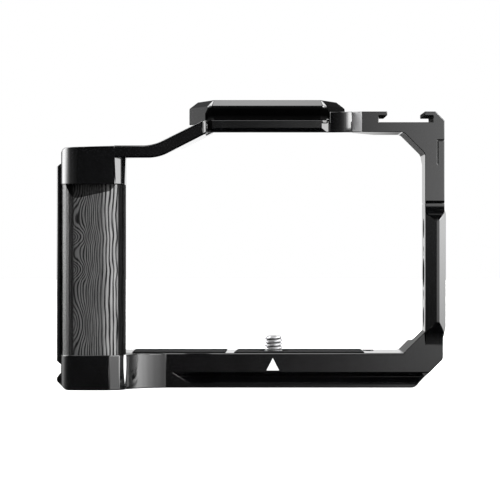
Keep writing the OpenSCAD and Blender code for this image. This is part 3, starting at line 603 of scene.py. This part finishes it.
def break_edges(made, width, width_rules=()):
    widest = weigh_edges(made.data, width, width_rules)
    work = bmesh.new()
    work.from_mesh(made.data)
    before = BVHTree.FromBMesh(work)
    low, high = ([pick(vertex.co[axis] for vertex in work.verts) for axis in range(3)] for pick in (min, max))
    work.free()
    made.data.shade_smooth()
    made.data.set_sharp_from_angle(angle=SHARP)
    bevel = made.modifiers.new("broken_edge", "BEVEL")
    bevel.width = widest
    bevel.segments = BEVEL_SEGMENTS
    bevel.limit_method = "WEIGHT"
    bevel.use_clamp_overlap = False
    bevel.miter_outer = "MITER_ARC"
    bevel.face_strength_mode = "FSTR_AFFECTED"
    settle(made)
    pull_back(made.data, before, FAR_OFF * widest, low, high)
    weighted = made.modifiers.new("flat_faces", "WEIGHTED_NORMAL")
    weighted.keep_sharp = True
    weighted.use_face_influence = True
    settle(made)


def machined(name, members, width, width_rules=(), cutters=()):
    made = fused(name, members)
    for cutter in cutters:
        combine(made, cutter, "DIFFERENCE")
    clean_faces(made.data)
    break_edges(made, width, width_rules)
    made.data.materials.clear()
    made.data.materials.append(black)
    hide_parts(*members)
    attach(made, "cage")
    print(name, "from", len(members), "solids,", len(made.data.polygons), "faces")
    return made


print("bevels of", BEVEL_SEGMENTS, "segments")

# %% [markdown]
# ## The lower ring
# The foot, the floor and the column are one length of the ring. Its edges are broken by three tenths of a
# millimetre. The flanks of the threads stay sharp, the end of the foot's dovetail is nearly so, and the
# column's outer corner is finer than the rest, as it would round off the ridge beside it.


# %% Lower ring
RING_EDGE, DOVETAIL_EDGE, CORNER_EDGE = 0.0003, 0.00005, 0.0001
THREAD_REACH = 5.4
COLUMN_SIDE_X = 59
SOCKET_TOP_Z = 9.2
DOVETAIL_END_X, DOVETAIL_TOP_Z, DOVETAIL_FRONT_Y = (-37, -22), 6.5, -8
OUTER_CORNER_X, OUTER_CORNER_Y, OUTER_CORNER_Z = 62.5, -9, 12


def within(value, span):
    return span[0] < value < span[1]


def inside_thread(middle):
    column = any(math.hypot(middle.y, middle.z - z) < THREAD_REACH for z in (*QUARTER_Z, HOLES_Z))
    socket = any(math.hypot(middle.x - x, middle.y - AXIS_Y) < THREAD_REACH
                 for x in (WIDE_SOCKET_X, NARROW_SOCKET_X))
    return (middle.x > COLUMN_SIDE_X and column) or (middle.z < SOCKET_TOP_Z and socket)


def dovetail_end(middle):
    return within(middle.x, DOVETAIL_END_X) and middle.z < DOVETAIL_TOP_Z and middle.y < DOVETAIL_FRONT_Y


def outer_corner(middle):
    return middle.x > OUTER_CORNER_X and middle.y < OUTER_CORNER_Y and middle.z > OUTER_CORNER_Z


ring_low = machined("ring_floor_and_column", ["base_plate", "side_column"], RING_EDGE, [
    (inside_thread, 0.0), (dovetail_end, DOVETAIL_EDGE), (outer_corner, CORNER_EDGE)], thread_cutters)
print("lower ring:", len(ring_low.data.vertices), "points")

# %% [markdown]
# ## The upper ring, the shoe and the rail
# The grip's frame, the arm and the hump with its rail are the other length. The arm's front edges are
# rounded more, where the fingers lie. The shoe's block and the upright rail are small and crisp.


# %% Upper ring, shoe and rail
TOP_EDGE, ARM_EDGE, CRISP_EDGE = 0.00028, 0.0006, 0.0002
ARM_X, ARM_FRONT_Y, ARM_FROM_Z = (-46, -15), -28, 78


def arm_front_edge(middle):
    return within(middle.x, ARM_X) and middle.y < ARM_FRONT_Y and middle.z > ARM_FROM_Z


ring_top = machined("ring_grip_and_bridge", ["grip_frame", "grip_arm", "top_bridge"], TOP_EDGE,
                    [(arm_front_edge, ARM_EDGE)])
shoe = machined("ring_shoe", ["shoe_frame"], CRISP_EDGE)
upright_rail = machined("upright_rail", ["side_rail"], CRISP_EDGE)
print("machined pieces:", ", ".join(made.name for made in (ring_low, ring_top, shoe, upright_rail)))

# %% [markdown]
# ## Painted shade on the walls
# Inside the shoe's slot, the rail's undercut and the tapped bores the shade is deep, and the walls get a
# painted shade: a darker black that is dull. Polished like the rest, these narrow walls would mirror the room
# and close up the openings. A finish can be chosen face by face: each test below gets a face's middle, in
# millimetres, and its normal. Cutting the pieces apart would do it too, but would leave seams.


# %% Painted shade on the walls
SLOT_X, SLOT_Z = (43.9, 62.9), (91.5, 95.2)
LIP_X, LIP_BACK_Y, LIP_Z = (-16.2, 27.4), 24, (92.7, 96.9)
LIP_END_X, LIP_END_Z = (-16.6, -13.0), (86.4, 92.6)
BORE_X = (60.05, 66.6)
LOCATING_Z = (HOLES_Z - 7.62, HOLES_Z + 7.62)
BORE_RADII = {QUARTER_Z[0]: 3.4, HOLES_Z: 5.0, QUARTER_Z[1]: 3.4, LOCATING_Z[0]: 1.6, LOCATING_Z[1]: 1.6}


def repaint(made, finish, wanted):
    names = [slot.name for slot in made.data.materials]
    if finish.name not in names:
        made.data.materials.append(finish)
        names.append(finish.name)
    count = 0
    for face in made.data.polygons:
        if wanted(face.center * 1000, face.normal):
            face.material_index = names.index(finish.name)
            count += 1
    print(made.name, finish.name, count, "faces")


def in_slot(place, normal):
    return within(place.x, SLOT_X) and within(place.z, SLOT_Z) and abs(normal.y) < 0.5


def in_undercut(place, normal):
    under_lip = within(place.x, LIP_X) and within(place.z, LIP_Z) and place.y < LIP_BACK_Y
    lip_end = within(place.x, LIP_END_X) and within(place.z, LIP_END_Z) and normal.x < -0.1
    return under_lip or lip_end


def in_bore(place, normal):
    return within(place.x, BORE_X) and any(
        math.hypot(place.y, place.z - z) < radius for z, radius in BORE_RADII.items())


# Painted shade: the slot, the undercut and the bores get the dark, dull black.
repaint(shoe, painted_shade_black, in_slot)
repaint(ring_top, painted_shade_black, in_undercut)
repaint(ring_low, painted_shade_black, in_bore)

# %% [markdown]
# ## Inner corners, inner edges and the rail's end
# The slanted inner corners of the ring are left satin from the cutter, so they show no bright patch. The
# broken edges at the right of the opening face the left panel, and the facet at the end of the hump's rail
# faces the right one. They get the painted shade black, so a thin dark line stays there and not a bright
# one. Smaller bevels would hide the bright line too, but the dark one with it.


# %% Satin corners and painted shade on edges
CORNER_X, LOWER_CORNER_Z, UPPER_CORNER_Z = (49.0, 61.0), (11.5, 21.0), (76.0, 91.0)
COLUMN_EDGE_X, COLUMN_EDGE_Z = (58.8, 60.8), (18, 82)
RING_FRONT_Y = -9.0
RAIL_END_X, RAIL_END_Z = (26.0, 36.5), 92.0


def on_corner(place, normal):
    low = within(place.z, LOWER_CORNER_Z) and normal.z > 0.3
    high = within(place.z, UPPER_CORNER_Z) and normal.z < -0.3
    return within(place.x, CORNER_X) and normal.x < -0.3 and (low or high)


def on_inner_edge(place, normal):
    upright = within(place.x, COLUMN_EDGE_X) and within(place.z, COLUMN_EDGE_Z)
    corner_height = within(place.z, LOWER_CORNER_Z) or within(place.z, UPPER_CORNER_Z)
    slanted = within(place.x, CORNER_X) and corner_height
    return (upright or slanted) and place.y < RING_FRONT_Y and normal.x < -0.2 and normal.y < -0.25


def on_rail_end(place, normal):
    return within(place.x, RAIL_END_X) and place.z > RAIL_END_Z and normal.y < -0.2 and normal.x > 0.25


# Painted shade on the inner edges and on the rail's end facet; satin on the slanted corners.
for made in (ring_low, shoe):
    repaint(made, painted_shade_black, on_inner_edge)
    repaint(made, satin_black, on_corner)
repaint(ring_top, painted_shade_black, on_rail_end)

# %% [markdown]
# ## Painted reflection and painted highlight
# The bevel at the joint beside the shoe gets a grey satin metal colour, a painted reflection for the light
# that it would mirror. The wall at the grip's foot gets the black with the painted highlight sliver in it.


# %% Joint bevel and foot wall
JOINT_X, JOINT_Y = 38.4, -6.6
JOINT_TILT = (-0.85, -0.4)
FOOT_WALL_X, FOOT_WALL_Y, FOOT_WALL_Z = (-46.5, -38.0), -10, 14


def on_joint_bevel(place, normal):
    at_joint = place.x < JOINT_X and place.y < JOINT_Y
    return at_joint and within(normal.x, JOINT_TILT) and abs(normal.z) < 0.3


def on_foot_wall(place, normal):
    at_foot = within(place.x, FOOT_WALL_X) and place.y < FOOT_WALL_Y and place.z < FOOT_WALL_Z
    return at_foot and normal.x > 0.3


# Painted reflection on the joint bevel, painted highlight on the foot's wall.
repaint(shoe, painted_reflection_grey, on_joint_bevel)
repaint(ring_top, foot_black_painted_highlight, on_foot_wall)

# %% [markdown]
# ## Camera screw
# The screw's head and neck are the solid's. Above the floor it gets its real thread, with a chamfered tip
# that finds the camera's hole. A thick plain rod keeps the solid's lower part, and the threaded rod is
# fused on top of it. Only the lower part's edges are broken: a thread rolled in steel keeps its crests.

# %% Camera screw
SCREW_X = 7.9
THREAD_FROM_Z, THREAD_TO_Z = 12.3, 17.45
THREAD_TIP = 0.75
OVERLAP = 0.05
SCREW_EDGE = 0.00012
camera_screw = fused("threaded_camera_screw", ["camera_screw"])
below_thread = threaded_rod("below_thread", (SCREW_X, AXIS_Y, 0), (SCREW_X, AXIS_Y, THREAD_FROM_Z),
                            outer=9.0, depth=0.0, pitch=10.0)
combine(camera_screw, below_thread, "INTERSECT")
clean_faces(camera_screw.data)
thread = threaded_rod("thread", (SCREW_X, AXIS_Y, THREAD_FROM_Z - OVERLAP), (SCREW_X, AXIS_Y, THREAD_TO_Z),
                      tip=THREAD_TIP, **QUARTER)
combine(camera_screw, thread, "UNION")
break_edges(camera_screw, SCREW_EDGE, [(lambda middle: middle.z > THREAD_FROM_Z - 4 * OVERLAP, 0.0)])
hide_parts("camera_screw")
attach(camera_screw, "camera_screw")
print(camera_screw.name, len(camera_screw.data.polygons), "faces")

# %% [markdown]
# ## Index mark
# The white triangle on the foot tells where the lens axis is. It is a filled engraving on the real cage.
# A plane laid on the wall would flicker in it, so it is a thin plate that stands half in the wall and a
# few hundredths of a millimetre proud, as the paint does.

# %% Index mark
MARK_CORNERS = [(5.29, 6.0), (9.63, 6.0), (7.46, 10.28)]
PAINT = 0.02
work = bmesh.new()
mark_front, mark_back = ([work.verts.new((x / 1000, y / 1000, z / 1000)) for x, z in MARK_CORNERS]
                         for y in (1000 * CAGE_FACE_Y - PAINT, 1000 * CAGE_FACE_Y + PAINT))
work.faces.new(mark_front[::-1])
work.faces.new(mark_back)
for index in range(3):
    beside = (index + 1) % 3
    work.faces.new((mark_front[index], mark_front[beside], mark_back[beside], mark_back[index]))
bmesh.ops.recalc_face_normals(work, faces=work.faces)
mark_mesh = bpy.data.meshes.new("index_mark")
work.to_mesh(mark_mesh)
work.free()
index_mark = bpy.data.objects.new("index_mark", mark_mesh)
bpy.context.scene.collection.objects.link(index_mark)
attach(index_mark, "cage")
print(index_mark.name, "at x", MARK_CORNERS[2][0])

# %% [markdown]
# ## Growth rings of the grip
# The growth rings of the block are far apart at its edges and close in the middle, and they swing round an
# old knot at the left. An image of wood would need unwrapping and would show its edges. Here each point of
# the block gets a ring number from its place, so the grain runs round the edges as it should. The number
# rises across the block; waves over the height bend it, noise makes it uneven, and a crowd of rings is
# added at the left.


# %% Growth rings
def ring_lines(tree, across, depth, height):
    def times(first, second):
        return math_node(tree, "MULTIPLY", first, second)

    def plus(first, second):
        return math_node(tree, "ADD", first, second)

    def minus(first, second):
        return math_node(tree, "SUBTRACT", first, second)

    swing = curve_over(tree, across, [
        (-66, 2.2), (-60, 2.3), (-57.8, 1.3), (-55.5, 0.4), (-50, 0.15), (-42, 0.25)])
    turn = plus(times(minus(height, 54.0), 2 * math.pi / 15.5),
                times(math_node(tree, "SINE", times(height, 2 * math.pi / 47)), 1.3))
    lean = times(math_node(tree, "SINE", turn), 0.5)
    wave = math_node(tree, "COSINE", plus(turn, lean))
    slow = math_node(tree, "SINE", times(height, 2 * math.pi / 37))
    bend = plus(times(swing, wave), times(slow, 0.18))
    drift = noise(tree, millimetres(tree, (0.13, 0.13, 0.045)), 1.0, 2.0)
    jitter = times(minus(drift, 0.5), 2.8)
    place = plus(minus(across, bend), plus(jitter, times(depth, 0.3)))
    crowd = smooth_range(tree, place, -66.4, -59.4, 0.0, 4.2)
    ring = math_node(tree, "FRACT", plus(times(place, 0.8), crowd))
    return minus(smooth_range(tree, ring, 0.1, 0.42), smooth_range(tree, ring, 0.7, 0.95))


print("growth rings ready")

# %% [markdown]
# ## Stained wood
# The grip is a hardwood block, stained black and wiped, so the open grain stays darker than the flats
# between. Over the stain the colour carries painted light and shade: painted shade at both round edges and a
# nearly black right edge, a painted shadow of the block above on the bevel that looks up, and a painted
# highlight in a band near the right edge. The strength of the lines and the painted light are curves across
# the block. Fibres a third of a millimetre wide break the lines up, and lines and fibres together make the
# relief.


# %% Wood finish
def stained_wood(name):
    material, tree = new_finish(name)
    axes = add(tree, "ShaderNodeSeparateXYZ", {0: millimetres(tree)})
    across, depth, height = (axes.outputs[axis] for axis in "XYZ")
    strength = curve_over(tree, across, [
        (-66, 0.1), (-60.8, 0.1), (-60.0, 1), (-56.5, 0.9), (-54, 0.65), (-50.5, 0.6), (-48.8, 1), (-45.6, 1),
        (-42, 0.2)])
    # Painted light and shade across the block: dark at the round edges, a pale highlight band near the right
    # edge.
    painted_light_across = curve_over(tree, across, [
        (-66, 0.3), (-62, 0.15), (-60.8, 0.1), (-59.8, 0.75), (-57, 0.95), (-51, 1.2), (-48.8, 2.8),
        (-45.6, 2.6), (-44.9, 0.04), (-42, 0.02)])
    line = math_node(tree, "SUBTRACT", ring_lines(tree, across, depth, height), 0.5)
    fibre = noise(tree, millimetres(tree, (3.2, 3.2, 0.11)), 1.0, 4.0, 0.6)
    pore = math_node(tree, "SUBTRACT", smooth_range(tree, fibre, 0.36, 0.64), 0.5)
    tone = math_node(tree, "ADD", math_node(tree, "MULTIPLY", line, strength),
                     math_node(tree, "MULTIPLY", pore, 0.45))
    level = math_node(tree, "ADD", tone, 0.5, clamp=True)
    normal = add(tree, "ShaderNodeTexCoord").outputs["Normal"]
    upward = add(tree, "ShaderNodeSeparateXYZ", {0: normal}).outputs["Z"]
    # Painted shadow: the bevel that looks up, under the block above, is darkened and loses its gloss.
    bevel = smooth_range(tree, upward, 0.08, 0.2, 1.0, 0.22)
    wiped = blend_colours(tree, level, (0.0015, 0.0015, 0.0016), (0.078, 0.078, 0.078))
    shade = math_node(tree, "MULTIPLY", painted_light_across, bevel)
    colour = add(tree, "ShaderNodeVectorMath", {0: wiped, "Scale": shade}, operation="SCALE").outputs[0]
    roughness = math_node(tree, "ADD", smooth_range(tree, level, 0.0, 1.0, 0.2, 0.1),
                          smooth_range(tree, across, -60.8, -59.8, 0.05, 0.25))
    film = math_node(tree, "MULTIPLY", smooth_range(tree, across, -60.8, -58.5, 0.5, 0.05), bevel)
    surface(tree, {
        "Base Color": colour, "Roughness": roughness, "IOR": 1.5, "Specular IOR Level": film,
        "Normal": relief(tree, level, 0.4, 0.0001)})
    return material


wood = stained_wood("black_stained_wood")
print("finish", wood.name)

# %% [markdown]
# ## Rubber, nylon and paint
# Rubber is dark and dull, with a moulded pebble of cells half a millimetre wide and dust between them.
# Nylon and paint have a soft cloud and hardly any relief. Flat colours would make all three look like
# cut paper next to the mirrors of the ring.


# %% Rubber, nylon and paint
def rubber(name):
    material, tree = new_finish(name)
    place = millimetres(tree)
    pebble = add(tree, "ShaderNodeTexVoronoi", {"Vector": place, "Scale": 2.2}).outputs["Distance"]
    dust = noise(tree, place, 1.3, 5.0)
    surface(tree, {
        "Base Color": blend_colours(tree, dust, (0.003, 0.003, 0.0032), (0.01, 0.01, 0.0105)),
        "Roughness": smooth_range(tree, dust, 0.2, 0.8, 0.62, 0.8),
        "Specular IOR Level": 0.15, "Normal": relief(tree, pebble, 0.5, 0.00006)})
    return material


def moulded(name, dark, pale, rough):
    material, tree = new_finish(name)
    cloud = noise(tree, millimetres(tree), 1.6, 4.0)
    surface(tree, {
        "Base Color": blend_colours(tree, cloud, dark, pale),
        "Roughness": smooth_range(tree, cloud, 0.2, 0.8, rough - 0.06, rough + 0.06),
        "Normal": relief(tree, cloud, 0.2, 0.00002)})
    return material


pad_rubber = rubber("pad_rubber")
nylon = moulded("nylon", (0.55, 0.54, 0.5), (0.68, 0.67, 0.63), 0.4)
mark_paint = moulded("mark_paint", (0.82, 0.82, 0.82), (0.9, 0.9, 0.9), 0.5)
print("finishes:", pad_rubber.name, nylon.name, mark_paint.name)

# %% [markdown]
# ## Steel, brass and nickel
# The small hardware is turned or plated. Its scratches are tenths of a millimetre wide, and on turned steel
# they are drawn out into rings. The thread of the camera screw is coloured dark down in its groove. The
# distance from the screw's axis tells the groove from the crest, so the crests are pale and the groove is
# dark.


# %% Metals
def metal(name, dark, pale, rough, stretch=(1.0, 1.0, 1.0)):
    material, tree = new_finish(name)
    scratch = noise(tree, millimetres(tree, stretch), 6.0, 3.0, 0.7)
    surface(tree, {
        "Base Color": blend_colours(tree, scratch, dark, pale), "Metallic": 1.0,
        "Roughness": smooth_range(tree, scratch, 0.2, 0.8, rough - 0.05, rough + 0.08),
        "Normal": relief(tree, scratch, 0.25, 0.00001)})
    return material


TURNED = (0.2, 0.2, 3.0)
GROOVE_RADIUS, CREST_RADIUS = 2.5, 2.8


def thread_steel(name, centre_x, centre_y):
    material, tree = new_finish(name)
    axes = add(tree, "ShaderNodeSeparateXYZ", {0: millimetres(tree)})
    off_x = math_node(tree, "SUBTRACT", axes.outputs["X"], centre_x)
    off_y = math_node(tree, "SUBTRACT", axes.outputs["Y"], centre_y)
    squares = math_node(tree, "ADD", math_node(tree, "MULTIPLY", off_x, off_x),
                        math_node(tree, "MULTIPLY", off_y, off_y))
    crest = smooth_range(tree, math_node(tree, "SQRT", squares), GROOVE_RADIUS, CREST_RADIUS)
    scratch = noise(tree, millimetres(tree, TURNED), 6.0, 3.0, 0.7)
    crest_paleness = math_node(tree, "MULTIPLY", crest, smooth_range(tree, scratch, 0.2, 0.8, 0.8, 1.0))
    surface(tree, {
        "Base Color": blend_colours(tree, crest_paleness, (0.03, 0.03, 0.031), (0.78, 0.78, 0.79)), "Metallic": 0.75,
        "Roughness": smooth_range(tree, scratch, 0.2, 0.8, 0.34, 0.44),
        "Normal": relief(tree, scratch, 0.25, 0.00001)})
    return material


screw_steel = thread_steel("thread_steel", SCREW_X, AXIS_Y)
turned_steel = metal("turned_steel", (0.62, 0.62, 0.63), (0.82, 0.82, 0.83), 0.3, TURNED)
plain_steel = metal("plain_steel", (0.3, 0.3, 0.31), (0.45, 0.45, 0.46), 0.32)
brass = metal("turned_brass", (0.62, 0.42, 0.16), (0.78, 0.58, 0.28), 0.25)
nickel = metal("nickel", (0.6, 0.59, 0.56), (0.75, 0.74, 0.7), 0.15)
print("metals:", ", ".join(m.name for m in (screw_steel, turned_steel, plain_steel, brass, nickel)))

# %% [markdown]
# ## Finishes on the pieces
# The pieces that keep their solids get their finish here, and so do the threaded screw and the mark. Each
# has one finish all over, so the slots that came with the solid are emptied first.

# %% Finishes on the pieces
finishes = {
    wood: ["wood_grip"],
    pad_rubber: ["floor_pad_left", "floor_pad_centre", "roof_pad"],
    nylon: ["screw_washer"],
    turned_steel: ["screwdriver"],
    plain_steel: ["screw_retainer", "grip_screw_low", "grip_screw_high", "rail_screw_low", "rail_screw_high"],
    brass: ["grip_insert_low", "grip_insert_high"],
    nickel: ["magnet_left", "magnet_right"]}
finished = [(nodes[node_name], finish) for finish, node_names in finishes.items() for node_name in node_names]
finished += [(camera_screw, screw_steel), (index_mark, mark_paint)]
for piece, finish in finished:
    piece.data.materials.clear()
    piece.data.materials.append(finish)
print("finished", len(finished), "pieces")
